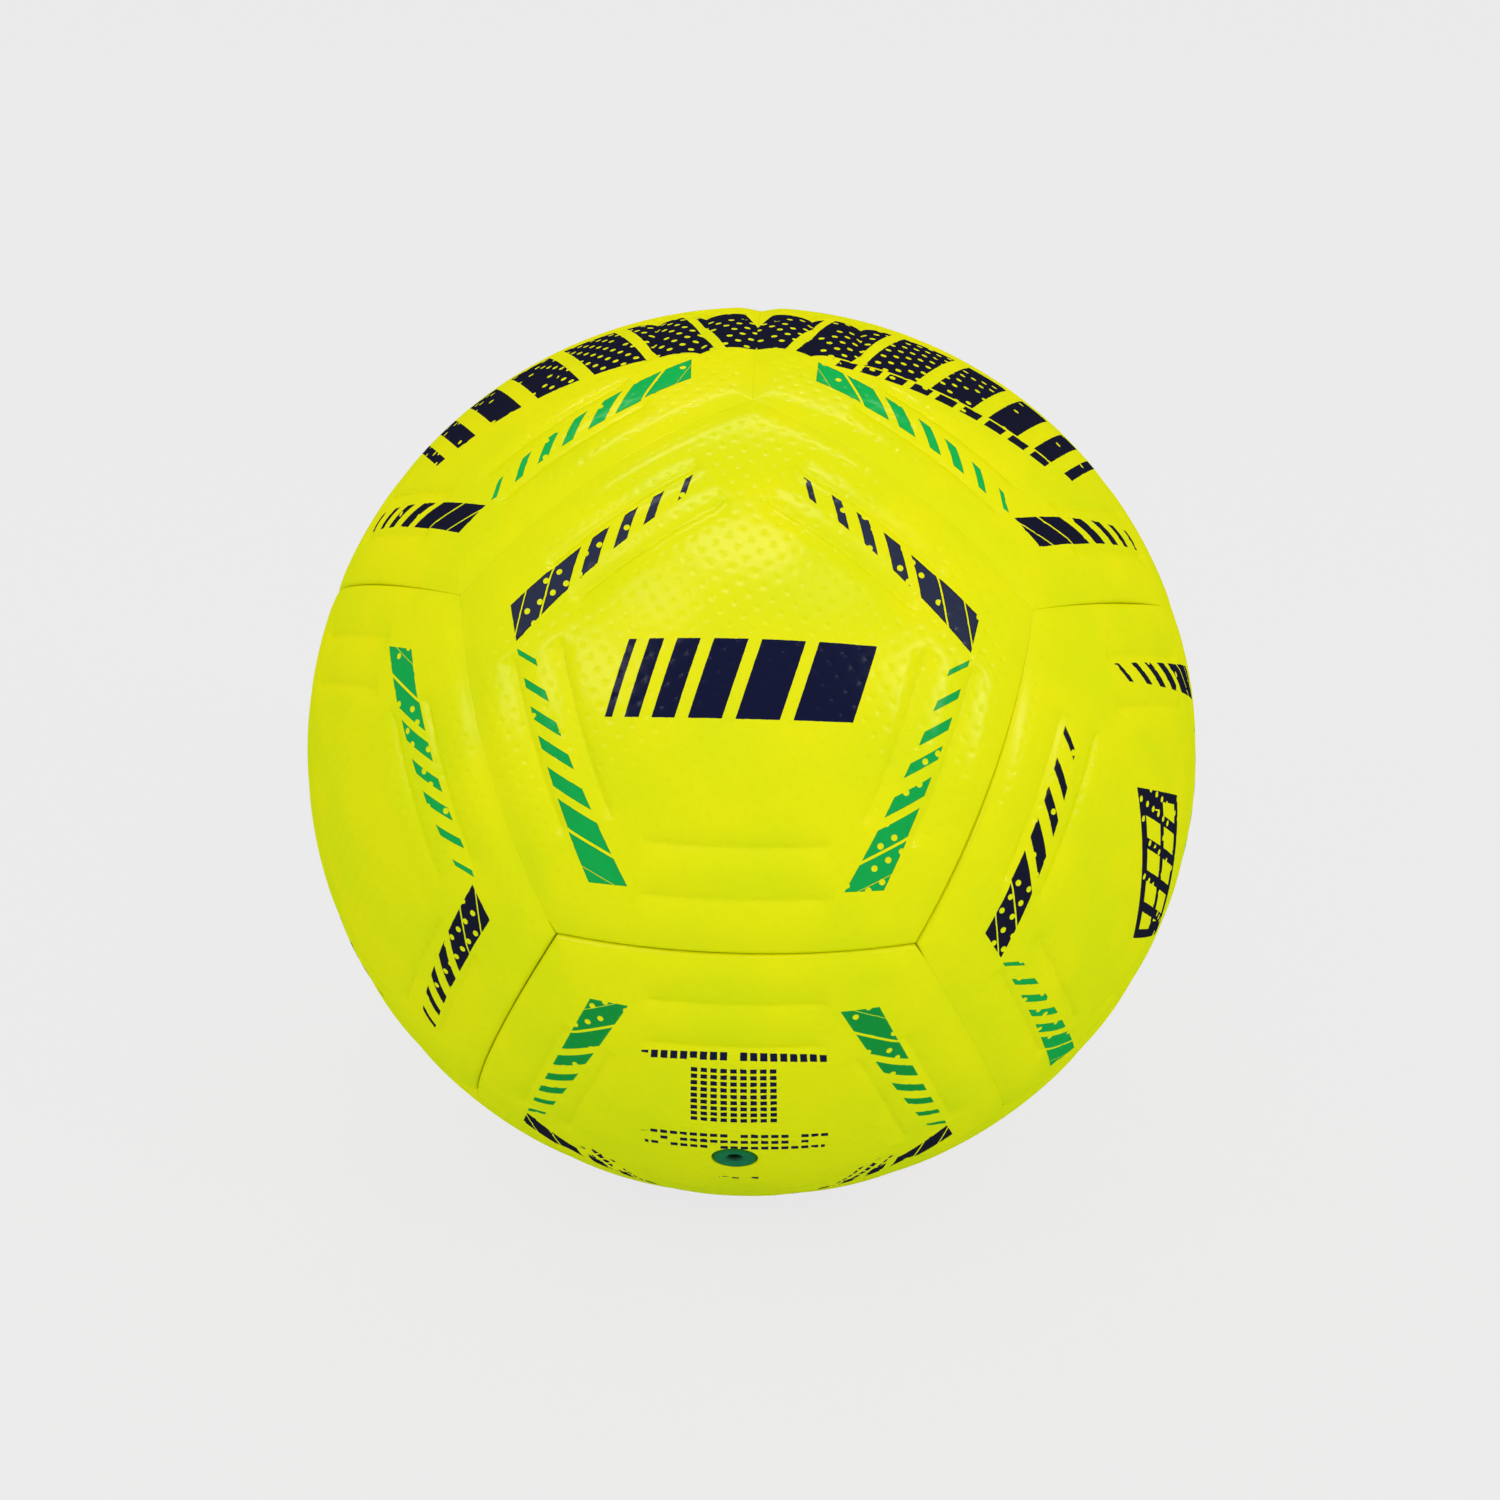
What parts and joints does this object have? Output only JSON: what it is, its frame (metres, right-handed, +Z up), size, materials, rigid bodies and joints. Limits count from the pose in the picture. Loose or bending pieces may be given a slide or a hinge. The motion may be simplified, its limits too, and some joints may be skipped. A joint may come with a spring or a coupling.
{
  "type": "handball",
  "caption": "Small inflatable handball with bonded five-sided panels, pressed grip relief and a valve with a removable core.",
  "frame": {"origin": "centre of the ball", "axes": "+Z up through the middle of the seam between the two upper panels, -Y through the middle of the seam between the front panel and the valve panel, +X to the right as seen from -Y"},
  "size_m": [0.16, 0.16, 0.16],
  "materials": {
    "cover_skin": "satin",
    "foam": "matte",
    "carcass_thread": "matte",
    "bladder_rubber": "satin",
    "housing_rubber": "matte",
    "core_rubber": "satin"
  },
  "bodies": {
    "ball": {"cover_panel_front": "cover_skin", "cover_panel_valve": "cover_skin", "cover_panel_left": "cover_skin", "cover_panel_right": "cover_skin", "cover_panel_upper_left": "cover_skin", "cover_panel_upper_right": "cover_skin", "cover_panel_rear_low": "cover_skin", "cover_panel_rear_high": "cover_skin", "cover_panel_rear_right": "cover_skin", "cover_panel_rear_left": "cover_skin", "cover_panel_lower_right": "cover_skin", "cover_panel_lower_left": "cover_skin", "panel_foam_front": "foam", "panel_foam_valve": "foam", "panel_foam_left": "foam", "panel_foam_right": "foam", "panel_foam_upper_left": "foam", "panel_foam_upper_right": "foam", "panel_foam_rear_low": "foam", "panel_foam_rear_high": "foam", "panel_foam_rear_right": "foam", "panel_foam_rear_left": "foam", "panel_foam_lower_right": "foam", "panel_foam_lower_left": "foam", "wound_carcass": "carcass_thread", "bladder": "bladder_rubber", "valve_housing": "housing_rubber"},
    "valve_core": {"valve_core": "core_rubber"}
  },
  "joints": [
    {"name": "valve_core_pull", "type": "slide", "parent": "ball", "child": "valve_core", "axis": [0, -0.8233, -0.5676], "range_m": [0, 0.02]}
  ]
}
